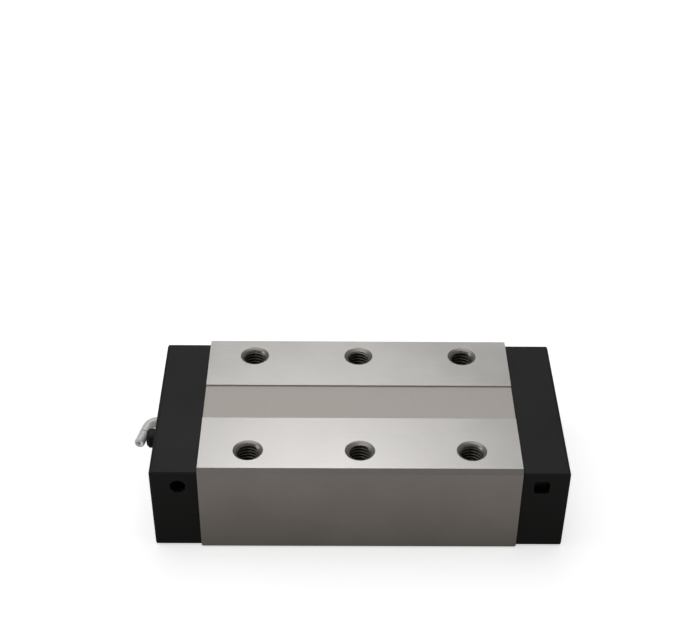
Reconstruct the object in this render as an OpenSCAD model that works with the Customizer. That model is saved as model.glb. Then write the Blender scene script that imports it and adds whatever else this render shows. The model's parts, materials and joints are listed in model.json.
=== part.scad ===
// Linear guide carriage, size 35 long narrow form, with four endless roller loops.
// X is the direction of travel, Y is across the rail, Z is up.
// The origin is the centre of the bolt pattern, on the ground mounting face.

/* [Runner block] */
// Width across the two side faces
block_w = 70; // [68:0.5:74]
// Length of the steel block without its end caps
block_l = 103.5; // [100:0.5:112]
// Height of the steel block
block_h = 33.5; // [33.5:0.1:38]
// Chamfer along the two top edges
edge_chamfer = 1.5; // [0.5:0.1:2]
// Chamfer along the bottom edge of each end face
end_chamfer = 0.9; // [0.3:0.1:1.5]
// Width of the unground strip along the middle of the mounting face
recess_w = 17.4; // [10:0.2:20]
// Depth of the unground strip
recess_depth = 0.5; // [0.2:0.1:1]

/* [Mounting holes] */
// Distance between the two rows of holes, across the rail
hole_across = 50; // [48:1:52]
// Distance between the outer holes of a row, along the rail
hole_along = 72; // [66:1:76]
// Outer radius of the thread in the tapped holes
hole_r = 4; // [3.8:0.1:4.2]
// Radius of the countersunk mouth
mouth_r = 4.9; // [4.5:0.1:5.2]
// Depth of the countersunk mouth
mouth_depth = 0.48; // [0.3:0.02:0.48]
// Depth of the full bore
hole_depth = 8; // [6:0.1:8.2]

/* [Rollers] */
// Roller radius
roller_r = 1.7; // [1.6:0.05:1.75]
// Roller length
roller_len = 4.8; // [4.2:0.1:4.8]
// Radius of the turn at each end of a loop
turn_r = 3.3; // [3.25:0.05:3.35]
// Distance from the middle of the rail to a loaded row
row_y = 16.5; // [16.4:0.05:16.6]
// Height of the middle of the rail head
head_z = -21; // [-21.05:0.05:-20.95]
// Half of the height between the upper and lower loaded rows
row_dz = 3.3; // [3.25:0.05:3.35]

/* [End caps] */
// Length of one end cap
cap_l = 15.5; // [14.8:0.1:17]
// Step down from the mounting face to the top of a cap
cap_drop = 1.9; // [1.5:0.1:2.2]
// Step in from the side of the block to the side of a cap
cap_inset = 1; // [0.5:0.1:1.5]
// Rounding of the outer edges of a cap
cap_round = 1.2; // [0.8:0.1:2]
// Draft of the outer face of a cap, from its top to its bottom
cap_draft = 0.4; // [0:0.1:0.8]
// Radius of the round lubrication port
port_r = 2.5; // [2:0.1:2.6]
// Height of the lubrication ports
port_z = -7.7; // [-8:0.1:-7]

/* [Grease nipple] */
// Height of the nipple's thread
nipple_z = -9.4; // [-9.6:0.1:-9]
// Angle between the nipple's thread and its head
elbow_angle = 76; // [70:1:90]
// Length from the corner of the elbow to the tip of the head
elbow_reach = 11.5; // [11:0.1:12.5]

/* [Hidden] */
$fn = 64;

// Ends, sides and levels
left = -1;
right = 1;
front = -1;
back = 1;
lower = -1;
upper = 1;
half_l = block_l / 2;
eps = 0.01;
root2 = sqrt(2);

// Roller loops: n is the contact direction of a row, 45 degrees from level
fit = 0.1;
raceway_gap = 0.03;
turn_y = row_y + turn_r / root2;
turn_dz = row_dz + turn_r / root2;
return_y = row_y + 2 * turn_r / root2;
return_dz = row_dz + 2 * turn_r / root2;
loop_length = 2 * block_l + 2 * PI * turn_r;
loop_rollers = 2 * round(loop_length / (2 * (2 * roller_r + 0.27)));
pitch = loop_length / loop_rollers;
turn_rollers = 3;
row_rollers = (loop_rollers - 2 * turn_rollers) / 2;
channel_len = roller_len + 2 * fit;
channel_w = 2 * roller_r + 2 * fit;

// Return bores and their sleeves
return_bore_r = 3.4;
sleeve_r = return_bore_r - 0.03;

// Rail head, which the carriage wraps round and which isn't part of it
contact_sum = row_y + row_dz - roller_r * root2;
rail_top_z = -15.6;
rail_top_half = 13.2;
rail_neck_half = 13.3;
rail_nose_half = contact_sum - 0.4;

// Channel in the block
ceiling_z = -14.6;
leg_inner = 16.2;
race_len = roller_len / 2 + 0.15;
race_offset = roller_r + raceway_gap;
race_in_y = row_y + (race_offset - race_len) / root2;
race_in_dz = row_dz + (race_offset + race_len) / root2;
race_out_y = row_y + (race_offset + race_len) / root2;
race_out_dz = row_dz + (race_offset - race_len) / root2;
end_gap = roller_len / 2 + 0.13;
outer_end_line = row_y - row_dz + end_gap * root2;
inner_end_line = row_y - row_dz - end_gap * root2;

// Keys that hold the retainers in the block
key_h = 0.8;
centre_key_half = 0.8;
upper_key_y = 14.2;
upper_key_w = 0.9;
lower_key_z = -31.6;
lower_key_h = 0.9;

// Side seals
side_seal_top = -32.45;
side_seal_bottom = -block_h + 0.15;

// End caps
cap_half_w = block_w / 2 - cap_inset;
cap_bottom = -block_h + 0.1;
cap_x0 = half_l + 0.05;
cap_x1 = half_l + cap_l;
cap_chamfer = 0.5;
port_x = cap_x1 - 9;
port_depth = 6;
seal_pocket_depth = 4.6;
seal_pocket_half = cap_half_w - 2.5;
seal_pocket_top = -3.6;
seal_pocket_bottom = cap_bottom + 1.2;
seal_x0 = cap_x1 - seal_pocket_depth + 0.02;
seal_t = 2;
cover_x0 = seal_x0 + seal_t + 0.02;
cover_t = 1;
cap_opening = 0.8;
guide_r = turn_r - roller_r - fit;
guide_len = channel_len + 1.6;

// Screws that hold the cap, the seal and the cover on the block
screw_r = 1.45;
screw_head_r = 2.6;
screw_head_h = 1.4;
screw_grip = 7;
screw_x0 = half_l - screw_grip;
screw_head_x = cover_x0 + cover_t + 0.02;
screw_places = [[17, -7.9], [-17, -7.9], [28.6, -22], [-28.6, -22]];

// Grease nipple
end_port_r = 2.5;
plate_port_r = end_port_r + 0.4;
nipple_thread_r = end_port_r - 0.05;
nipple_thread_len = 7;
nipple_base_x = cover_x0 + cover_t + 0.02;
hex_r = 3.4;
hex_h = 1.4;
elbow_x = cap_x1 + 3.05;
bend_r = 3.4;
bend_start = bend_r * tan(elbow_angle / 2);
bend_tube_r = 1.75;
stem_r = 1.85;
arm_r = 1.8;
head_r = 1.7;
head_len = 5.3;
arm_len = elbow_reach - head_len;
stem_bore_r = 0.7;
bend_bore_r = 0.6;
grease_bore_r = 0.5;
ball_bore_r = 0.85;
ball_r = 0.75;
seat_r = 0.5;
ball_centre = elbow_reach - 1.13;

// Spring behind the check ball, drawn as short as it is with the ball pressed in
spring_r = 0.55;
wire_r = 0.12;
spring_turns = 6;
spring_len = 2.7;
spring_base = arm_len + 0.1;

// Plug of the spare grease port
plug_y = -10.3;
plug_z = -7.7;
plug_r = 3.2;
plug_stem_r = 1.8;
plug_proud = 3.05;
plug_chamfer = 0.8;

// ---------- helpers ----------

// Sweeps a drawing of the Y-Z section along X, between two stations
module section(x0, x1) {
    translate([x0, 0, 0])
    rotate([90, 0, 90])
    linear_extrude(x1 - x0)
    children();
}

// Mirrors the right-hand end of the carriage onto the left
module at_end(end) {
    mirror([end == left ? 1 : 0, 0, 0])
    children();
}

// Mirrors the back side of the carriage onto the front
module at_side(side) {
    mirror([0, side == front ? 1 : 0, 0])
    children();
}

// Turns the roller axis into Z for one loop, which is centred on y, z
module at_loop(x, y, dz, side, level) {
    translate([x, side * y, head_z + level * dz])
    rotate([45 * side * level, 0, 0])
    children();
}

module roller() {
    cylinder(r = roller_r, h = roller_len, center = true);
}

// Half of a symmetric section, given as points from the middle outward, completed by its mirror image
function both_sides(points) = concat(
    points,
    [for (i = [len(points) - 1:-1:0]) [-points[i][0], points[i][1]]]
);

// Rail head section, grown by a clearance c all round
function rail_section(c, bottom) = let (
    line = contact_sum + c * root2,
    top_half = rail_top_half + c,
    nose = rail_nose_half + c,
    neck = rail_neck_half + c
) both_sides([
    [top_half, rail_top_z + c],
    [top_half, head_z + line - top_half],
    [nose, head_z + line - nose],
    [nose, head_z - line + nose],
    [neck, head_z - line + neck],
    [neck, bottom]
]);

// Points of a quarter circle, from angle a0, in steps of 15 degrees
function quarter(cx, cy, r, a0) = [
    for (i = [0:6]) [cx + r * cos(a0 + 15 * i), cy + r * sin(a0 + 15 * i)]
];

// ---------- steel block ----------

module block_section() {
    half = block_w / 2;
    polygon(both_sides([
        [half - edge_chamfer, 0],
        [half, -edge_chamfer],
        [half, -block_h + 0.5],
        [half - 0.5, -block_h]
    ]));
}

module channel_section() {
    polygon(both_sides([
        [race_in_y - 0.2, ceiling_z],
        [race_in_y, head_z + race_in_dz],
        [race_out_y, head_z + race_out_dz],
        [race_out_y, head_z - race_out_dz],
        [race_in_y, head_z - race_in_dz],
        [leg_inner, head_z - race_in_dz - 0.3],
        [leg_inner, -block_h - 1]
    ]));
}

module mounting_hole() {
    tip = hole_r / tan(60);
    flare = (mouth_r - hole_r) / mouth_depth;
    translate([0, 0, -hole_depth])
    cylinder(r = hole_r, h = hole_depth + 1);
    translate([0, 0, -mouth_depth])
    cylinder(r1 = hole_r, r2 = mouth_r + flare, h = mouth_depth + 1);
    translate([0, 0, -hole_depth - tip])
    cylinder(r1 = 0, r2 = hole_r, h = tip + eps);
}

// The three grooves of one side that the retainers clip into
module retainer_grooves(c) {
    section(-half_l - 1, half_l + 1)
    translate([race_out_y - 1, head_z - centre_key_half - c])
    square([1 + key_h + c, 2 * centre_key_half + 2 * c]);
    section(-half_l - 1, half_l + 1)
    translate([upper_key_y - c, ceiling_z - 1])
    square([upper_key_w + 2 * c, 1 + key_h + c]);
    section(-half_l - 1, half_l + 1)
    translate([leg_inner - 1, lower_key_z - c])
    square([1 + key_h + c, lower_key_h + 2 * c]);
}

// Wedge cut off the bottom edge of an end face of the block
module foot_wedge() {
    b = end_chamfer + 1;
    translate([half_l + 1 - b, block_w, -block_h - 1])
    rotate([90, 0, 0])
    linear_extrude(2 * block_w)
    polygon([[-1, 0], [b, b + 1], [b, 0]]);
}

module runner_block() {
    color([0.80, 0.79, 0.78])
    difference() {
        section(-half_l, half_l)
        block_section();
        section(-half_l - 1, half_l + 1)
        channel_section();
        for (side = [front, back])
            at_side(side)
            retainer_grooves(0.04);
        for (side = [front, back])
            for (level = [lower, upper])
                translate([0, side * return_y, head_z + level * return_dz])
                rotate([0, 90, 0])
                cylinder(r = return_bore_r, h = block_l + 2, center = true);
        for (x = [-1:1])
            for (side = [front, back])
                translate([x * hole_along / 2, side * hole_across / 2, 0])
                mounting_hole();
        translate([-half_l - 1, -recess_w / 2, -recess_depth])
        cube([block_l + 2, recess_w, 5]);
        for (end = [left, right])
            at_end(end) {
                foot_wedge();
                for (place = screw_places)
                    translate([screw_x0 - 1, place[0], place[1]])
                    rotate([0, 90, 0])
                    cylinder(r = screw_r + 0.05, h = screw_grip + 2);
            }
    }
}

// ---------- roller loops ----------

module return_sleeve(side, level) {
    color([0.20, 0.20, 0.21])
    translate([0, side * return_y, head_z + level * return_dz])
    difference() {
        rotate([0, 90, 0])
        cylinder(r = sleeve_r, h = block_l - 0.1, center = true);
        rotate([45 * side * level, 0, 0])
        cube([block_l + 2, channel_w, channel_len], center = true);
    }
}

module roller_row(y, dz, side, level) {
    color([0.86, 0.86, 0.87])
    for (i = [0:row_rollers - 1])
        at_loop((i - (row_rollers - 1) / 2) * pitch, y, dz, side, level)
        roller();
}

module turn_group(end, side, level) {
    step = pitch / turn_r * 180 / PI;
    color([0.86, 0.86, 0.87])
    at_loop(end * half_l, turn_y, turn_dz, side, level)
    for (i = [-1:1])
        rotate([0, 0, i * step])
        translate([end * turn_r, 0, 0])
        roller();
}

// ---------- retainers and side seals, which clip into grooves in the block ----------

// Wedge between the two loaded rows of one side
module centre_retainer(side) {
    y0 = rail_nose_half + 0.4;
    y1 = race_out_y - 0.05;
    slope0 = y0 - outer_end_line;
    slope1 = y1 - outer_end_line;
    color([0.16, 0.16, 0.17])
    at_side(side)
    section(-half_l + 0.05, half_l - 0.05)
    translate([0, head_z])
    polygon([
        [y0, -slope0],
        [y1, -slope1],
        [y1, -centre_key_half],
        [y1 + key_h, -centre_key_half],
        [y1 + key_h, centre_key_half],
        [y1, centre_key_half],
        [y1, slope1],
        [y0, slope0]
    ]);
}

// Strip under the ceiling of the channel, against the inner ends of the upper rollers
module upper_retainer(side) {
    y0 = rail_top_half + 0.6;
    y1 = race_in_y - 0.27;
    top = ceiling_z - 0.05;
    color([0.16, 0.16, 0.17])
    at_side(side)
    section(-half_l + 0.05, half_l - 0.05)
    polygon([
        [y0, top],
        [upper_key_y, top],
        [upper_key_y, top + key_h],
        [upper_key_y + upper_key_w, top + key_h],
        [upper_key_y + upper_key_w, top],
        [y1, top],
        [y1, head_z + y1 - inner_end_line],
        [y0, head_z + y0 - inner_end_line]
    ]);
}

// Strip on the inside of a leg, against the inner ends of the lower rollers
module lower_retainer(side) {
    y0 = rail_neck_half + 0.5;
    y1 = race_in_y - 0.12;
    wall = leg_inner - 0.08;
    color([0.16, 0.16, 0.17])
    at_side(side)
    section(-half_l + 0.05, half_l - 0.05)
    polygon([
        [y0, head_z - y0 + inner_end_line],
        [y1, head_z - y1 + inner_end_line],
        [wall, head_z - race_in_dz - 0.7],
        [wall, lower_key_z + lower_key_h],
        [wall + key_h, lower_key_z + lower_key_h],
        [wall + key_h, lower_key_z],
        [wall, lower_key_z],
        [wall, side_seal_top + 0.05],
        [y0 + 0.9, side_seal_top + 0.05],
        [y0 + 0.9, head_z - race_in_dz - 0.5],
        [y0, head_z - race_in_dz + 0.9]
    ]);
}

// Rubber lip strip along the bottom of a leg
module side_seal(side) {
    color([0.09, 0.09, 0.10])
    at_side(side)
    section(-half_l + 0.05, half_l - 0.05)
    polygon([
        [leg_inner - 0.08, side_seal_top],
        [leg_inner - 0.08, side_seal_bottom],
        [rail_neck_half + 1.3, side_seal_bottom],
        [rail_neck_half + 0.1, side_seal_top - 0.1],
        [rail_neck_half + 0.4, side_seal_top + 0.1],
        [rail_neck_half + 1.3, side_seal_top - 0.2]
    ]);
}

// ---------- end caps ----------

module cap_blank() {
    top = -cap_drop;
    foot = 1.2;
    foot_x = cap_x1 - cap_draft - foot;
    intersection() {
        section(cap_x0, cap_x1)
        polygon(both_sides([
            [cap_half_w - cap_chamfer, top],
            [cap_half_w, top - cap_chamfer],
            [cap_half_w, cap_bottom + 0.5],
            [cap_half_w - 0.5, cap_bottom]
        ]));
        translate([0, 0, cap_bottom - 1])
        linear_extrude(block_h + 2)
        polygon(concat(
            [[cap_x0 - 1, -cap_half_w - 1], [cap_x1 - cap_round, -cap_half_w - 1]],
            quarter(cap_x1 - cap_round, -cap_half_w + cap_round, cap_round, -90),
            quarter(cap_x1 - cap_round, cap_half_w - cap_round, cap_round, 0),
            [[cap_x1 - cap_round, cap_half_w + 1], [cap_x0 - 1, cap_half_w + 1]]
        ));
        translate([0, block_w, 0])
        rotate([90, 0, 0])
        linear_extrude(2 * block_w)
        polygon(concat(
            [[cap_x0 - 1, cap_bottom - 1], [foot_x, cap_bottom - 1]],
            quarter(foot_x, cap_bottom + foot, foot, -90),
            quarter(cap_x1 - cap_round, top - cap_round, cap_round, 0),
            [[cap_x1 - cap_round, top + 1], [cap_x0 - 1, top + 1]]
        ));
    }
}

// Curved channels that carry the rollers round, with slots for the ends of the guides
module turn_channels() {
    for (side = [front, back])
        for (level = [lower, upper])
            at_loop(half_l, turn_y, turn_dz, side, level) {
                cylinder(r = turn_r + roller_r + fit, h = channel_len, center = true);
                cylinder(r = guide_r + 0.03, h = guide_len + 0.1, center = true);
            }
}

module round_port() {
    for (side = [front, back])
        at_side(side)
        translate([port_x, cap_half_w - port_depth, port_z])
        rotate([-90, 0, 0])
        cylinder(r = port_r, h = port_depth + 1);
}

module square_port() {
    half = port_r;
    corner = 1;
    for (side = [front, back])
        at_side(side)
        translate([port_x, cap_half_w - 3, port_z])
        rotate([-90, 0, 0])
        linear_extrude(4)
        polygon(concat(
            quarter(half - corner, half - corner, corner, 0),
            quarter(corner - half, half - corner, corner, 90),
            quarter(corner - half, corner - half, corner, 180),
            quarter(half - corner, corner - half, corner, 270)
        ));
}

module end_cap(end) {
    color([0.13, 0.13, 0.13])
    at_end(end)
    difference() {
        cap_blank();
        section(cap_x0 - 1, cap_x1 + 1)
        polygon(rail_section(cap_opening, -block_h - 1));
        turn_channels();
        translate([cap_x1 - seal_pocket_depth, -seal_pocket_half, seal_pocket_bottom])
        cube([seal_pocket_depth + 1, 2 * seal_pocket_half, seal_pocket_top - seal_pocket_bottom]);
        for (place = screw_places)
            translate([cap_x0 - 1, place[0], place[1]])
            rotate([0, 90, 0])
            cylinder(r = screw_r + 0.15, h = cap_l);
        translate([nipple_base_x - nipple_thread_len - 0.5, 0, nipple_z])
        rotate([0, 90, 0])
        cylinder(r = end_port_r, h = cap_l);
        if (end == left)
            spare_port(cap_l);
        if (end == left)
            round_port();
        else
            square_port();
    }
}

// Hole of the spare grease port, of depth h from the outer face
module spare_port(h) {
    translate([nipple_base_x - 5, plug_y, plug_z])
    rotate([0, 90, 0])
    cylinder(r = plug_stem_r + 0.05, h = h);
}

// Half-round guides on the inside of each turn
module turn_guides(end) {
    color([0.20, 0.20, 0.21])
    at_end(end)
    for (side = [front, back])
        for (level = [lower, upper])
            at_loop(half_l, turn_y, turn_dz, side, level)
            difference() {
                cylinder(r = guide_r, h = guide_len, center = true);
                translate([0.05 - 2 * guide_r, 0, 0])
                cube([4 * guide_r, 4 * guide_r, guide_len + 1], center = true);
            }
}

// ---------- end seals ----------

// Plate in the pocket of a cap, from station x0, with a clearance c to the rail
module end_plate(x0, t, c) {
    half = seal_pocket_half - 0.1;
    difference() {
        translate([x0, -half, seal_pocket_bottom + 0.1])
        cube([t, 2 * half, seal_pocket_top - seal_pocket_bottom - 0.2]);
        section(x0 - 1, x0 + t + 1)
        polygon(rail_section(c, -block_h - 1));
        for (place = screw_places)
            translate([x0 - 1, place[0], place[1]])
            rotate([0, 90, 0])
            cylinder(r = screw_r + 0.15, h = t + 2);
        translate([x0 - 1, 0, nipple_z])
        rotate([0, 90, 0])
        cylinder(r = plate_port_r, h = t + 2);
    }
}

module wiper_seal(end) {
    color([0.09, 0.09, 0.10])
    at_end(end)
    difference() {
        end_plate(seal_x0, seal_t, 0.05);
        if (end == left)
            spare_port(cap_l);
    }
}

module seal_cover(end) {
    color([0.25, 0.25, 0.26])
    at_end(end)
    difference() {
        end_plate(cover_x0, cover_t, 1);
        if (end == left)
            spare_port(cap_l);
    }
}

module cap_screws(end) {
    color([0.30, 0.30, 0.31])
    at_end(end)
    for (place = screw_places)
        translate([0, place[0], place[1]])
        rotate([0, 90, 0])
        difference() {
            union() {
                translate([0, 0, screw_x0])
                cylinder(r = screw_r, h = screw_head_x - screw_x0 + eps);
                translate([0, 0, screw_head_x])
                cylinder(r = screw_head_r, h = screw_head_h);
            }
            translate([0, 0, screw_head_x + screw_head_h - 1])
            cylinder(r = 1.45, h = 2, $fn = 6);
        }
}

// ---------- grease nipple ----------

// Frame of the level arm: Z runs along the arm, away from the corner of the elbow
module at_elbow() {
    at_end(left)
    translate([elbow_x, 0, nipple_z])
    rotate([90, 0, 90 - elbow_angle])
    children();
}

// Level bend of round section between the stem and the arm, of tube radius r
module elbow_bend(r) {
    at_end(left)
    translate([elbow_x - bend_start, -bend_r, nipple_z])
    rotate([0, 0, 90 - elbow_angle])
    rotate_extrude(angle = elbow_angle)
    translate([bend_r, 0])
    circle(r = r);
}

// Round bar along the nipple's thread, between two stations
module stem_bar(x0, x1, r) {
    at_end(left)
    translate([x0, 0, nipple_z])
    rotate([0, 90, 0])
    cylinder(r = r, h = x1 - x0);
}

module nipple_elbow() {
    thread_x = nipple_base_x - nipple_thread_len;
    bend_x = elbow_x - bend_start;
    color([0.74, 0.74, 0.73])
    difference() {
        union() {
            stem_bar(thread_x, nipple_base_x + 1, nipple_thread_r);
            at_end(left)
            translate([nipple_base_x, 0, nipple_z])
            rotate([0, 90, 0])
            cylinder(r = hex_r, h = hex_h, $fn = 6);
            stem_bar(nipple_base_x, bend_x + 0.05, stem_r);
            elbow_bend(bend_tube_r);
            at_elbow()
            translate([0, 0, bend_start - 0.05])
            cylinder(r = arm_r, h = arm_len - bend_start + 0.05);
        }
        stem_bar(thread_x - 1, bend_x + 0.2, stem_bore_r);
        elbow_bend(bend_bore_r);
        at_elbow()
        translate([0, 0, bend_start - 0.2])
        cylinder(r = grease_bore_r, h = arm_len);
    }
}

module nipple_head() {
    neck_r = head_r - 0.35;
    color([0.74, 0.74, 0.73])
    at_elbow()
    translate([0, 0, arm_len + 0.02])
    rotate_extrude()
    polygon([
        [ball_bore_r, 0],
        [neck_r, 0],
        [neck_r, 0.3],
        [head_r, 0.7],
        [head_r, head_len - 0.35],
        [head_r - 0.2, head_len],
        [1.15, head_len],
        [seat_r, head_len - 0.35],
        [seat_r, head_len - 0.5],
        [ball_bore_r, head_len - 1]
    ]);
}

module nipple_ball() {
    color([0.86, 0.86, 0.87])
    at_elbow()
    translate([0, 0, ball_centre])
    sphere(r = ball_r);
}

module port_plug_left() {
    color([0.09, 0.09, 0.10])
    at_end(left)
    translate([0, plug_y, plug_z])
    rotate([0, 90, 0]) {
        translate([0, 0, nipple_base_x - 4.5])
        cylinder(r = plug_stem_r, h = 5);
        translate([0, 0, nipple_base_x])
        cylinder(r = plug_r, h = cap_x1 + plug_proud - plug_chamfer - nipple_base_x);
        translate([0, 0, cap_x1 + plug_proud - plug_chamfer])
        cylinder(r1 = plug_r, r2 = plug_r - plug_chamfer, h = plug_chamfer);
    }
}

// Points of one ring of the spring wire, at turn angle a
function wire_ring(a, rise) = [
    for (k = [0:7])
        let (
            out = spring_r + wire_r * cos(45 * k),
            up = rise * a / 360 + wire_r * sin(45 * k)
        )
        [out * cos(a), out * sin(a), up]
];

module nipple_spring() {
    rise = (spring_len - 2 * wire_r) / spring_turns;
    last = spring_turns * 12;
    points = [for (i = [0:last]) each wire_ring(30 * i, rise)];
    sides = [
        for (i = [0:last - 1])
            for (k = [0:7])
                let (m = (k + 1) % 8)
                [8 * i + k, 8 * i + 8 + k, 8 * i + 8 + m, 8 * i + m]
    ];
    color([0.62, 0.62, 0.63])
    at_elbow()
    translate([0, 0, spring_base + wire_r])
    polyhedron(
        points = points,
        faces = concat(
            [[for (k = [0:7]) k]],
            sides,
            [[for (k = [7:-1:0]) 8 * last + k]]
        )
    );
}

runner_block();
return_sleeve(front, upper);  // return_sleeve_upper_front
return_sleeve(back, upper);  // return_sleeve_upper_back
return_sleeve(front, lower);  // return_sleeve_lower_front
return_sleeve(back, lower);  // return_sleeve_lower_back
roller_row(row_y, row_dz, front, upper);  // loaded_rollers_upper_front
roller_row(row_y, row_dz, back, upper);  // loaded_rollers_upper_back
roller_row(row_y, row_dz, front, lower);  // loaded_rollers_lower_front
roller_row(row_y, row_dz, back, lower);  // loaded_rollers_lower_back
roller_row(return_y, return_dz, front, upper);  // return_rollers_upper_front
roller_row(return_y, return_dz, back, upper);  // return_rollers_upper_back
roller_row(return_y, return_dz, front, lower);  // return_rollers_lower_front
roller_row(return_y, return_dz, back, lower);  // return_rollers_lower_back
turn_group(left, front, upper);  // left_turn_rollers_upper_front
turn_group(left, back, upper);  // left_turn_rollers_upper_back
turn_group(left, front, lower);  // left_turn_rollers_lower_front
turn_group(left, back, lower);  // left_turn_rollers_lower_back
turn_group(right, front, upper);  // right_turn_rollers_upper_front
turn_group(right, back, upper);  // right_turn_rollers_upper_back
turn_group(right, front, lower);  // right_turn_rollers_lower_front
turn_group(right, back, lower);  // right_turn_rollers_lower_back
centre_retainer(front);  // centre_retainer_front
centre_retainer(back);  // centre_retainer_back
upper_retainer(front);  // upper_retainer_front
upper_retainer(back);  // upper_retainer_back
lower_retainer(front);  // lower_retainer_front
lower_retainer(back);  // lower_retainer_back
side_seal(front);  // side_seal_front
side_seal(back);  // side_seal_back
end_cap(left);  // end_cap_left
end_cap(right);  // end_cap_right
turn_guides(left);  // turn_guides_left
turn_guides(right);  // turn_guides_right
wiper_seal(left);  // wiper_seal_left
wiper_seal(right);  // wiper_seal_right
seal_cover(left);  // seal_cover_left
seal_cover(right);  // seal_cover_right
cap_screws(left);  // cap_screws_left
cap_screws(right);  // cap_screws_right
nipple_elbow();
nipple_head();
nipple_ball();
nipple_spring();
port_plug_left();
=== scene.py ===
"""Visual model of a long linear guide carriage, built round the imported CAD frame."""

import json
import math

import bmesh
import bpy
from mathutils import Matrix, Vector


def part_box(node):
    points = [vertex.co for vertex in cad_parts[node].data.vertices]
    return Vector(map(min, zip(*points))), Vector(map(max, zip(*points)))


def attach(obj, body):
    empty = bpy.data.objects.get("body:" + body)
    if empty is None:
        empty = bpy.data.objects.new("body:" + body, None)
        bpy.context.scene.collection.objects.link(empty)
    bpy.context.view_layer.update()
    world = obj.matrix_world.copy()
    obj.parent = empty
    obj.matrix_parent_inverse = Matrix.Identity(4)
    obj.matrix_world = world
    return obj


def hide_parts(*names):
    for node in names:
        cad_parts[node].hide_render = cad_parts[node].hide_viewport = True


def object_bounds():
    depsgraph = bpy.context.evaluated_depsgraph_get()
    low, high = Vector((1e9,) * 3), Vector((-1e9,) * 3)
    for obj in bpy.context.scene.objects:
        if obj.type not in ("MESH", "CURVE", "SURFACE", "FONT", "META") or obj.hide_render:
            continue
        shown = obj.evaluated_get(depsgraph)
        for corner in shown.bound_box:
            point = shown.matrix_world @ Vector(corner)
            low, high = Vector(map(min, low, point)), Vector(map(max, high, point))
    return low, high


MM = 0.001

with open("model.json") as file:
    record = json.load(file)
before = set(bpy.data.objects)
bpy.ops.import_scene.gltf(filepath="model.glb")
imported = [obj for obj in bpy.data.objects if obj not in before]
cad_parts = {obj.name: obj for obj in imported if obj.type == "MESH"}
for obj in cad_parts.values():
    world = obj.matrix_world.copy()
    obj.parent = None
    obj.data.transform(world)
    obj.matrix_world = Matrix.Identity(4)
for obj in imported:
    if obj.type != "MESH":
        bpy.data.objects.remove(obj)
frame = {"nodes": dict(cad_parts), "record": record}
cad_low, cad_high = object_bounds()
NODES = frame["nodes"]
MOUNTS = {m["name"]: m for m in frame["record"]["mounts"]}
BODY = "carriage"

block_low, block_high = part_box("runner_block")
HALF_L = block_high.x
HALF_W = block_high.y
FOOT_Z = cad_low.z

# The holes follow the stated bolt pattern.
OUTER = MOUNTS["top_bolts_outer"]["dims"]
HOLE_X = OUTER["spacing_x_mm"] * MM / 2
HOLE_Y = OUTER["spacing_y_mm"] * MM / 2
THREAD_R = OUTER["hole_r_mm"] * MM
THREAD_HEIGHT = 0.6 * MM
CREST_R = THREAD_R - THREAD_HEIGHT
MOUTH_R = 4.9 * MM
MOUTH_DEPTH = 0.48 * MM
HOLE_DEPTH = 8.0 * MM
PITCH = 1.25 * MM

# Depth below the face at which the thread begins, and the wall of the sleeve that carries it
START_IN_MIDDLE_HOLE = 0.85 * MM
START_IN_CORNER_HOLE = 1.1 * MM
SLEEVE_WALL = 0.06 * MM

# The unground strip along the middle of the mounting face
STRIP_HALF = 8.7 * MM
STRIP_DEPTH = 0.5 * MM

# Radius that breaks the edges of the block and the end caps
EDGE_RADIUS = 0.15 * MM

# Gap between the object's foot and the floor, so that they don't share a plane
FLOOR_GAP = 0.2 * MM

# Strength of the floor as steel mirrors it, a painted shadow in the reflection: dim next to the object,
# lighter from MIRROR_REACH on
MIRROR_NEAR = 0.10
MIRROR_FAR = 0.24
MIRROR_REACH = 45 * MM


# ---------------------------------------------------------------- node helpers

def new_material(name):
    """A material with its node tree emptied down to a Principled shader and an output."""
    material = bpy.data.materials.new(name)
    material.use_nodes = True
    tree = material.node_tree
    tree.nodes.clear()
    output = tree.nodes.new("ShaderNodeOutputMaterial")
    shader = tree.nodes.new("ShaderNodeBsdfPrincipled")
    tree.links.new(shader.outputs["BSDF"], output.inputs["Surface"])
    return material, tree, shader


def math_node(tree, operation, a, b=None, clamp=False):
    """One Math node; a and b are sockets or numbers."""
    node = tree.nodes.new("ShaderNodeMath")
    node.operation = operation
    node.use_clamp = clamp
    for index, value in enumerate((a, b)):
        if value is None:
            continue
        if isinstance(value, (int, float)):
            node.inputs[index].default_value = value
        else:
            tree.links.new(value, node.inputs[index])
    return node.outputs[0]


def product(tree, first, *others):
    """The product of two or more sockets or numbers."""
    result = first
    for value in others:
        result = math_node(tree, "MULTIPLY", result, value)
    return result


def object_axes(tree):
    """The X, Y and Z of a point in the row frame, as three sockets."""
    coords = tree.nodes.new("ShaderNodeTexCoord")
    split = tree.nodes.new("ShaderNodeSeparateXYZ")
    tree.links.new(coords.outputs["Object"], split.inputs[0])
    return split.outputs[0], split.outputs[1], split.outputs[2]


def normal_axes(tree):
    """The X, Y and Z of the surface normal in the row frame, as three sockets."""
    coords = tree.nodes.new("ShaderNodeTexCoord")
    split = tree.nodes.new("ShaderNodeSeparateXYZ")
    tree.links.new(coords.outputs["Normal"], split.inputs[0])
    return split.outputs[0], split.outputs[1], split.outputs[2]


def noise(tree, scale, stretch=(1, 1, 1), detail=4.0, roughness=0.6):
    """Noise in the row frame; a larger stretch gives shorter features along that axis."""
    coords = tree.nodes.new("ShaderNodeTexCoord")
    mapping = tree.nodes.new("ShaderNodeMapping")
    mapping.inputs["Scale"].default_value = stretch
    texture = tree.nodes.new("ShaderNodeTexNoise")
    texture.inputs["Scale"].default_value = scale
    texture.inputs["Detail"].default_value = detail
    texture.inputs["Roughness"].default_value = roughness
    tree.links.new(coords.outputs["Object"], mapping.inputs["Vector"])
    tree.links.new(mapping.outputs["Vector"], texture.inputs["Vector"])
    return texture.outputs["Fac"]


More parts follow.
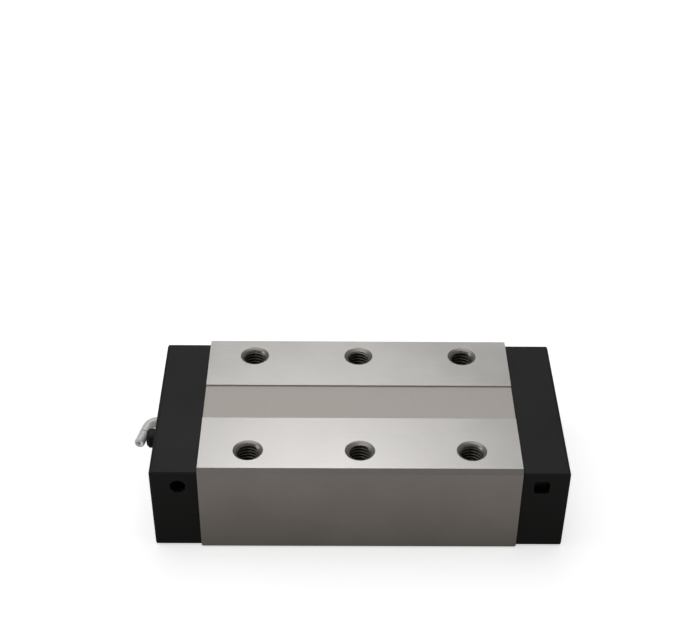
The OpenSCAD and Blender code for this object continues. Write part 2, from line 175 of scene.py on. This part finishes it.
def spread(tree, value, low, high, start=0.0, end=1.0):
    """Maps value from start..end to low..high, clamped."""
    node = tree.nodes.new("ShaderNodeMapRange")
    node.inputs["From Min"].default_value = start
    node.inputs["From Max"].default_value = end
    node.inputs["To Min"].default_value = low
    node.inputs["To Max"].default_value = high
    tree.links.new(value, node.inputs["Value"])
    return node.outputs["Result"]


def mix_values(tree, factor, a, b):
    """a where factor is 0 and b where it is 1; a and b are sockets or numbers."""
    node = tree.nodes.new("ShaderNodeMix")
    node.data_type = "FLOAT"
    tree.links.new(factor, node.inputs["Factor"])
    for name, value in (("A", a), ("B", b)):
        if isinstance(value, (int, float)):
            node.inputs[name].default_value = value
        else:
            tree.links.new(value, node.inputs[name])
    return node.outputs["Result"]


def mix_colours(tree, factor, a, b):
    """Colour a where factor is 0 and b where it is 1; each is a socket or an RGB triple."""
    node = tree.nodes.new("ShaderNodeMix")
    node.data_type = "RGBA"
    tree.links.new(factor, node.inputs["Factor"])
    sockets = [s for s in node.inputs if s.type == "RGBA"]
    for socket, value in zip(sockets, (a, b)):
        if isinstance(value, tuple):
            socket.default_value = (*value, 1)
        else:
            tree.links.new(value, socket)
    return next(s for s in node.outputs if s.type == "RGBA")


def bump(tree, shader, height, strength, distance):
    """Adds bump to the shader from a height socket; distance is in metres."""
    node = tree.nodes.new("ShaderNodeBump")
    node.inputs["Strength"].default_value = strength
    node.inputs["Distance"].default_value = distance
    tree.links.new(height, node.inputs["Height"])
    tree.links.new(node.outputs["Normal"], shader.inputs["Normal"])


# ------------------------------------------------------------------- materials

def edge_wear(tree, width, reach):
    """1 along the block's outer edges, fading to 0 over width; reach is a noise that breaks it up."""
    x, y, z = object_axes(tree)
    to_side = math_node(tree, "SUBTRACT", HALF_W, math_node(tree, "ABSOLUTE", y))
    to_end = math_node(tree, "SUBTRACT", HALF_L, math_node(tree, "ABSOLUTE", x))
    to_top = math_node(tree, "MULTIPLY", z, -1.0)
    near_side = math_node(tree, "MAXIMUM", to_side, to_top)
    near_end = math_node(tree, "MINIMUM", math_node(tree, "MAXIMUM", to_end, to_top),
                         math_node(tree, "MAXIMUM", to_end, to_side))
    nearest = math_node(tree, "MINIMUM", near_side, near_end)
    ragged = math_node(tree, "ADD", nearest, math_node(tree, "MULTIPLY", reach, width * 0.6))
    return spread(tree, ragged, 1.0, 0.0, width * 0.3, width)


def hole_mask(tree):
    """1 inside the six tapped holes and their countersunk mouths, 0 elsewhere."""
    x, y, z = object_axes(tree)
    along = math_node(tree, "ABSOLUTE", x)
    to_outer = math_node(tree, "ABSOLUTE", math_node(tree, "SUBTRACT", along, HOLE_X))
    across = math_node(tree, "SUBTRACT", math_node(tree, "ABSOLUTE", y), HOLE_Y)
    nearest = math_node(tree, "MINIMUM", along, to_outer)
    squares = math_node(tree, "ADD", product(tree, nearest, nearest), product(tree, across, across))
    inside = math_node(tree, "LESS_THAN", math_node(tree, "SQRT", squares), MOUTH_R - 0.02 * MM)
    above_tip = math_node(tree, "GREATER_THAN", z, -HOLE_DEPTH - THREAD_R)
    return product(tree, inside, above_tip)


def steel_zones(tree):
    """Masks of the block: its upward faces, the unground strip, the step beside it, the chamfers (which
    get painted shade).
    """
    _, y, z = object_axes(tree)
    _, ny, nz = normal_axes(tree)
    sideways = math_node(tree, "ABSOLUTE", ny)
    upward = spread(tree, nz, 0.0, 1.0, 0.6, 0.9)
    in_strip = math_node(tree, "LESS_THAN", math_node(tree, "ABSOLUTE", y), STRIP_HALF + 0.05 * MM)
    sunk = math_node(tree, "LESS_THAN", z, -0.5 * STRIP_DEPTH)
    strip = product(tree, in_strip, sunk, upward)
    near_top = math_node(tree, "GREATER_THAN", z, -1.2 * STRIP_DEPTH)
    step = product(tree, in_strip, math_node(tree, "GREATER_THAN", sideways, 0.7), near_top)
    shaded_chamfer = product(tree, spread(tree, nz, 0.0, 1.0, 0.3, 0.6), spread(tree, nz, 1.0, 0.0, 0.8, 0.95),
                      spread(tree, sideways, 0.0, 1.0, 0.3, 0.6))
    return upward, strip, step, shaded_chamfer


def blend_noises(tree, first, second, share):
    """Two noises in one, with the given share of the second."""
    return math_node(tree, "ADD", product(tree, first, 1.0 - share), product(tree, second, share))


def ground_steel():
    """Ground top lands, a matt unground strip between them, and finely ground side faces, with painted
    shade on the chamfers and down the holes.
    """
    material, tree, shader = new_material("ground_steel")
    upward, strip, step, shaded_chamfer = steel_zones(tree)
    lines = noise(tree, 900, stretch=(0.05, 1, 1), detail=5)
    cloud = noise(tree, 45, detail=3)
    grain = noise(tree, 2600, stretch=(0.5, 1, 1), detail=4, roughness=0.75)
    land_tone = blend_noises(tree, lines, cloud, 0.7)
    side_tone = blend_noises(tree, cloud, grain, 0.4)

    land = mix_colours(tree, spread(tree, land_tone, 0.0, 1.0, 0.35, 0.65),
                       (0.60, 0.582, 0.562), (0.66, 0.642, 0.622))
    matt = mix_colours(tree, spread(tree, grain, 0.0, 1.0, 0.3, 0.7),
                       (0.555, 0.52, 0.487), (0.665, 0.625, 0.587))
    side = mix_colours(tree, spread(tree, side_tone, 0.0, 1.0, 0.35, 0.65),
                       (0.635, 0.607, 0.58), (0.72, 0.692, 0.663))
    colour = mix_colours(tree, upward, side, land)
    colour = mix_colours(tree, strip, colour, matt)
    # Painted shade: the chamfers take a darker colour than the faces beside them.
    colour = mix_colours(tree, shaded_chamfer, colour, (0.475, 0.44, 0.415))
    wear = product(tree, edge_wear(tree, 0.5 * MM, cloud), 0.15)
    colour = mix_colours(tree, wear, colour, (0.86, 0.84, 0.82))
    # Painted shade: inside the holes the colour goes from the turned mouth's grey to near black with
    # depth.
    _, _, z = object_axes(tree)
    hole_shade = spread(tree, z, 1.0, 0.0, -3.0 * MM, -0.6 * MM)
    bored_and_shaded = mix_colours(tree, hole_shade, (0.33, 0.315, 0.285), (0.05, 0.046, 0.042))
    colour = mix_colours(tree, hole_mask(tree), colour, bored_and_shaded)
    colour = mix_colours(tree, step, colour, (0.60, 0.57, 0.54))
    tree.links.new(colour, shader.inputs["Base Color"])
    tree.links.new(mix_values(tree, step, 1.0, 0.3), shader.inputs["Metallic"])

    land_rough = spread(tree, land_tone, 0.30, 0.40, 0.3, 0.7)
    matt_rough = spread(tree, grain, 0.55, 0.70, 0.3, 0.7)
    side_rough = spread(tree, side_tone, 0.38, 0.50, 0.3, 0.7)
    rough = mix_values(tree, strip, mix_values(tree, upward, side_rough, land_rough), matt_rough)
    tree.links.new(rough, shader.inputs["Roughness"])
    height = mix_values(tree, strip, mix_values(tree, upward, side_tone, lines), grain)
    bump(tree, shader, height, 0.25, 0.03 * MM)
    return material


def plain_metal(name, dark, light, rough, scale, stretch=(1, 1, 1), strength=0.15,
                metallic=1.0):
    """Metal with a soft change of tone and roughness, and fine marks."""
    material, tree, shader = new_material(name)
    shader.inputs["Metallic"].default_value = metallic
    tone = noise(tree, scale, stretch)
    marks = noise(tree, scale * 12, stretch, detail=5)
    colour = mix_colours(tree, spread(tree, tone, 0.0, 1.0, 0.35, 0.65), dark, light)
    tree.links.new(colour, shader.inputs["Base Color"])
    marked = spread(tree, marks, rough - 0.06, rough + 0.06, 0.3, 0.7)
    tree.links.new(marked, shader.inputs["Roughness"])
    bump(tree, shader, marks, strength, 0.02 * MM)
    return material


def thread_steel():
    """Cut thread: a light turned mouth, then flanks painted dark as shade further down, with bright
    crests.
    """
    material, tree, shader = new_material("thread_steel")
    shader.inputs["Metallic"].default_value = 1.0
    _, _, z = object_axes(tree)
    marks = noise(tree, 700, stretch=(1, 1, 3), detail=5)
    # Painted shade: the colour goes from the mouth's grey to the dark flank colour between 1.0 mm and
    # 1.9 mm below the face.
    depth_shade = spread(tree, z, 1.0, 0.0, -1.9 * MM, -1.0 * MM)
    shaded_flank = mix_colours(tree, spread(tree, marks, 0.0, 1.0, 0.35, 0.65),
                        (0.075, 0.066, 0.058), (0.15, 0.135, 0.12))
    mouth = mix_colours(tree, spread(tree, marks, 0.0, 1.0, 0.35, 0.65),
                        (0.30, 0.285, 0.255), (0.37, 0.35, 0.315))
    tree.links.new(mix_colours(tree, depth_shade, mouth, shaded_flank), shader.inputs["Base Color"])
    tree.links.new(spread(tree, marks, 0.22, 0.36, 0.3, 0.7), shader.inputs["Roughness"])
    bump(tree, shader, marks, 0.2, 0.02 * MM)
    return material


def moulded_plastic(name, dark, light, rough, specular, grain_scale=1500):
    """Moulded plastic with a fine eroded grain, faint flow clouds and slightly polished patches."""
    material, tree, shader = new_material(name)
    shader.inputs["Specular IOR Level"].default_value = specular
    grain = noise(tree, grain_scale, detail=5, roughness=0.7)
    cloud = noise(tree, 35, stretch=(0.6, 1, 1), detail=3)
    tone = blend_noises(tree, grain, cloud, 0.55)
    colour = mix_colours(tree, spread(tree, tone, 0.0, 1.0, 0.35, 0.65), dark, light)
    tree.links.new(colour, shader.inputs["Base Color"])
    mottled = spread(tree, tone, rough - 0.07, rough + 0.07, 0.35, 0.65)
    tree.links.new(mottled, shader.inputs["Roughness"])
    bump(tree, shader, grain, 0.35, 0.05 * MM)
    return material


def seal_rubber():
    """Matt black rubber with a faint bloom and a soft skin texture."""
    material, tree, shader = new_material("seal_rubber")
    shader.inputs["Specular IOR Level"].default_value = 0.3
    bloom = noise(tree, 60, detail=4)
    skin = noise(tree, 1100, detail=4)
    colour = mix_colours(tree, spread(tree, bloom, 0.0, 1.0, 0.4, 0.7),
                         (0.012, 0.012, 0.013), (0.022, 0.021, 0.021))
    tree.links.new(colour, shader.inputs["Base Color"])
    tree.links.new(spread(tree, skin, 0.62, 0.78, 0.3, 0.7), shader.inputs["Roughness"])
    bump(tree, shader, skin, 0.3, 0.04 * MM)
    return material


def black_sheet():
    """Blackened sheet steel with thin scuffs."""
    material, tree, shader = new_material("cover_steel")
    shader.inputs["Metallic"].default_value = 0.6
    tone = noise(tree, 80, detail=4)
    scuffs = noise(tree, 600, stretch=(1, 0.08, 1), detail=5)
    colour = mix_colours(tree, spread(tree, tone, 0.0, 1.0, 0.35, 0.65),
                         (0.022, 0.022, 0.024), (0.034, 0.034, 0.036))
    colour = mix_colours(tree, spread(tree, scuffs, 0.0, 0.5, 0.66, 0.74), colour, (0.13, 0.13, 0.13))
    tree.links.new(colour, shader.inputs["Base Color"])
    tree.links.new(spread(tree, tone, 0.38, 0.5, 0.3, 0.7), shader.inputs["Roughness"])
    bump(tree, shader, scuffs, 0.1, 0.03 * MM)
    return material


MATERIALS = {
    "ground_steel": ground_steel(),
    "thread_steel": thread_steel(),
    "bearing_steel": plain_metal("bearing_steel", (0.78, 0.78, 0.80), (0.86, 0.86, 0.87), 0.12, 120,
                                 stretch=(0.2, 1, 1), strength=0.05),
    "inner_plastic": moulded_plastic("inner_plastic", (0.020, 0.020, 0.022), (0.036, 0.036, 0.039),
                                     0.5, 0.45),
    "seal_rubber": seal_rubber(),
    "cap_plastic": moulded_plastic("cap_plastic", (0.0052, 0.0050, 0.0050), (0.0078, 0.0075, 0.0075),
                                   0.56, 0.36),
    "cover_steel": black_sheet(),
    "screw_steel": plain_metal("screw_steel", (0.035, 0.035, 0.038), (0.07, 0.07, 0.074), 0.36, 400),
    "nipple_steel": plain_metal("nipple_steel", (0.86, 0.85, 0.83), (0.93, 0.92, 0.90), 0.45, 220,
                                metallic=0.2),
    "spring_steel": plain_metal("spring_steel", (0.45, 0.45, 0.46), (0.62, 0.62, 0.63), 0.28, 500),
}


def dress_nodes():
    """Gives every CAD node the material of its slot."""
    for part in frame["record"]["subparts"]:
        obj = NODES[part["node"]]
        obj.data.materials.clear()
        obj.data.materials.append(MATERIALS[part["material_slot"]])


# ---------------------------------------------------------------------- pieces

def shade_smooth(mesh):
    """Sets every face of a mesh to smooth shading."""
    for polygon in mesh.polygons:
        polygon.use_smooth = True


def finish_piece(name, mesh, material):
    """Puts a smooth-shaded mesh in the scene with its material, riding on the carriage."""
    shade_smooth(mesh)
    obj = bpy.data.objects.new(name, mesh)
    bpy.context.scene.collection.objects.link(obj)
    obj.data.materials.append(MATERIALS[material])
    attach(obj, BODY)
    return obj


def rounded_copy(node):
    """A copy of a CAD node with its edges broken by a small radius, which stands for that node."""
    shape = bmesh.new()
    shape.from_mesh(NODES[node].data)
    bmesh.ops.remove_doubles(shape, verts=shape.verts, dist=1e-6)
    bmesh.ops.dissolve_limit(shape, angle_limit=math.radians(0.4), verts=shape.verts, edges=shape.edges)
    mesh = bpy.data.meshes.new(node + "_finished")
    shape.to_mesh(mesh)
    shape.free()
    slot = next(p["material_slot"] for p in frame["record"]["subparts"] if p["node"] == node)
    obj = finish_piece(mesh.name, mesh, slot)
    bevel = obj.modifiers.new("broken_edges", "BEVEL")
    bevel.width = EDGE_RADIUS
    bevel.segments = 2
    bevel.limit_method = "ANGLE"
    bevel.angle_limit = math.radians(28)
    normals = obj.modifiers.new("flat_faces", "WEIGHTED_NORMAL")
    normals.mode = "FACE_AREA"
    normals.weight = 100
    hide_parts(node)


def thread_profile(phase):
    """Radius of the thread surface for a phase of 0 to 1 along one pitch."""
    crest, root = 0.25, 0.125
    slope = (1 - crest - root) / 2
    if phase < crest:
        return CREST_R
    if phase < crest + slope:
        return CREST_R + THREAD_HEIGHT * (phase - crest) / slope
    if phase < crest + slope + root:
        return THREAD_R
    return THREAD_R - THREAD_HEIGHT * (phase - crest - slope - root) / slope


def ring_of_points(shape, x, y, z, radius_at, steps=72):
    """A level ring of vertices round x, y, with a radius for each step."""
    ring = []
    for step in range(steps):
        angle = 2 * math.pi * step / steps
        radius = radius_at(step / steps)
        ring.append(shape.verts.new((x + radius * math.cos(angle), y + radius * math.sin(angle), z)))
    return ring


def thread_mesh(name, x, y, start, turn):
    """The female thread of one tapped hole, as a sleeve whose inside carries the helix.

    The sleeve begins at the foot of the countersunk mouth, whose cone runs on down to start,
    where the thread begins. turn shifts the helix from hole to hole."""
    rings = 150
    shape = bmesh.new()
    inside, outside = [], []
    for index in range(rings + 1):
        z = -MOUTH_DEPTH - (HOLE_DEPTH - MOUTH_DEPTH) * index / rings
        cone = THREAD_HEIGHT * (1 - min(1.0, (-z - MOUTH_DEPTH) / (start - MOUTH_DEPTH)))
        fade = min(1.0, max(0.0, (-z - start + 0.25 * MM) / (0.5 * MM)))

        def radius_at(part):
            phase = (-z / PITCH + part + turn) % 1.0
            return CREST_R + max(cone, (thread_profile(phase) - CREST_R) * fade)

        inside.append(ring_of_points(shape, x, y, z, radius_at))
        if index in (0, rings):
            outside.append(ring_of_points(shape, x, y, z, lambda part: THREAD_R + SLEEVE_WALL))
    loops = [outside[0], *inside, outside[1], outside[0]]
    for upper, lower in zip(loops, loops[1:]):
        for step in range(len(upper)):
            shape.faces.new((upper[step - 1], lower[step - 1], lower[step], upper[step]))
    bmesh.ops.recalc_face_normals(shape, faces=shape.faces)
    mesh = bpy.data.meshes.new(name)
    shape.to_mesh(mesh)
    shape.free()
    return mesh


def build_threads():
    """One threaded sleeve in each of the six mounting holes."""
    for row, side in (("front", -1), ("back", 1)):
        for column, place in (("left", -1), ("middle", 0), ("right", 1)):
            start = START_IN_MIDDLE_HOLE if place == 0 else START_IN_CORNER_HOLE
            turn = 0.17 * (place + 2) + 0.31 * side
            mesh = thread_mesh(f"thread_{row}_{column}", place * HOLE_X, side * HOLE_Y, start, turn)
            finish_piece(mesh.name, mesh, "thread_steel")


# ---------------------------------------------------------- floor, light, camera

def build_floor():
    """A plain white floor, clear from below. What steel mirrors of it is a painted reflection, darkened
    towards the object as painted shadow.
    """
    bpy.ops.mesh.primitive_grid_add(x_subdivisions=8, y_subdivisions=8, size=24,
                                    location=(0, 0, FOOT_Z - FLOOR_GAP))
    floor = bpy.context.object
    floor.name = "floor"
    material = bpy.data.materials.new("floor_white")
    material.use_nodes = True
    tree = material.node_tree
    tree.nodes.clear()
    output = tree.nodes.new("ShaderNodeOutputMaterial")
    white = tree.nodes.new("ShaderNodeBsdfDiffuse")
    white.inputs["Color"].default_value = (0.90, 0.90, 0.90, 1)
    glow = tree.nodes.new("ShaderNodeEmission")
    glow.inputs["Strength"].default_value = 0.62
    both = tree.nodes.new("ShaderNodeAddShader")
    tree.links.new(white.outputs[0], both.inputs[0])
    tree.links.new(glow.outputs[0], both.inputs[1])

    x, y, _ = object_axes(tree)
    beyond_end = math_node(tree, "SUBTRACT", math_node(tree, "ABSOLUTE", x), cad_high.x)
    beyond_side = math_node(tree, "SUBTRACT", math_node(tree, "ABSOLUTE", y), HALF_W)
    away = math_node(tree, "MAXIMUM", beyond_end, beyond_side)
    # Painted reflection: glossy rays see the floor as a glow that is dimmer next to the object, a
    # painted shadow.
    painted_reflection = tree.nodes.new("ShaderNodeEmission")
    painted_reflection.inputs["Color"].default_value = (1.0, 0.93, 0.87, 1)
    ramp = spread(tree, away, MIRROR_NEAR, MIRROR_FAR, 0.0, MIRROR_REACH)
    tree.links.new(ramp, painted_reflection.inputs["Strength"])
    ray = tree.nodes.new("ShaderNodeLightPath")
    choose = tree.nodes.new("ShaderNodeMixShader")
    tree.links.new(ray.outputs["Is Glossy Ray"], choose.inputs["Fac"])
    tree.links.new(both.outputs[0], choose.inputs[1])
    tree.links.new(painted_reflection.outputs[0], choose.inputs[2])
    side = tree.nodes.new("ShaderNodeNewGeometry")
    clear = tree.nodes.new("ShaderNodeBsdfTransparent")
    one_sided = tree.nodes.new("ShaderNodeMixShader")
    tree.links.new(side.outputs["Backfacing"], one_sided.inputs["Fac"])
    tree.links.new(choose.outputs[0], one_sided.inputs[1])
    tree.links.new(clear.outputs[0], one_sided.inputs[2])
    tree.links.new(one_sided.outputs[0], output.inputs["Surface"])
    floor.data.materials.append(material)


def build_world():
    """Soft studio surroundings, lightest overhead and behind, and dim near the horizon."""
    world = bpy.data.worlds.new("studio")
    bpy.context.scene.world = world
    world.use_nodes = True
    tree = world.node_tree
    tree.nodes.clear()
    output = tree.nodes.new("ShaderNodeOutputWorld")
    background = tree.nodes.new("ShaderNodeBackground")
    coords = tree.nodes.new("ShaderNodeTexCoord")
    split = tree.nodes.new("ShaderNodeSeparateXYZ")
    tree.links.new(coords.outputs["Generated"], split.inputs[0])
    up_and_back = math_node(tree, "ADD", product(tree, split.outputs[2], 0.89),
                            product(tree, split.outputs[1], 0.45))
    glow = spread(tree, up_and_back, 0.12, 0.34, 0.1, 0.95)
    ray = tree.nodes.new("ShaderNodeLightPath")
    strength = mix_values(tree, ray.outputs["Is Camera Ray"], glow, 1.0)
    background.inputs["Color"].default_value = (1, 1, 1, 1)
    tree.links.new(strength, background.inputs["Strength"])
    tree.links.new(background.outputs[0], output.inputs["Surface"])


def add_softbox(name, place, target, size, power):
    """A rectangular area light aimed at a point, which the camera doesn't see."""
    light = bpy.data.lights.new(name, "AREA")
    light.shape = "RECTANGLE"
    light.size, light.size_y = size
    light.energy = power
    obj = bpy.data.objects.new(name, light)
    obj.location = place
    obj.rotation_euler = (Vector(target) - Vector(place)).to_track_quat("-Z", "Y").to_euler()
    obj.visible_camera = False
    bpy.context.scene.collection.objects.link(obj)


def build_lights():
    """A wide soft light overhead, a smaller one behind, and a weak fill from the left."""
    add_softbox("overhead", (-0.15, 0.15, 1.25), (0, 0, 0), (1.5, 1.2), 4.6)
    add_softbox("behind", (-0.03, 0.66, 0.80), (-0.01, 0, 0), (0.24, 0.32), 0.58)
    add_softbox("left_fill", (-1.2, 0.1, 0.6), (0, 0, 0), (0.7, 0.7), 1.5)


def build_camera():
    """The camera of the picture: 38 degrees above the horizon, almost square to the front."""
    data = bpy.data.cameras.new("camera")
    data.sensor_width = 36
    data.lens = 73.79
    data.shift_y = 0.0821
    data.clip_start = 0.01
    data.clip_end = 60
    camera = bpy.data.objects.new("camera", data)
    turn = Matrix.Rotation(math.radians(-0.827), 4, "Z")
    tilt = Matrix.Rotation(math.radians(90 - 38.096), 4, "X")
    roll = Matrix.Rotation(math.radians(0.764), 4, "Z")
    camera.matrix_world = Matrix.Translation((-0.00855, -0.37248, 0.30328)) @ turn @ tilt @ roll
    bpy.context.scene.collection.objects.link(camera)
    bpy.context.scene.camera = camera


dress_nodes()
for node in ("runner_block", "end_cap_left", "end_cap_right"):
    rounded_copy(node)
build_threads()
build_floor()
build_world()
build_lights()
build_camera()
bpy.context.scene.view_settings.view_transform = "Standard"
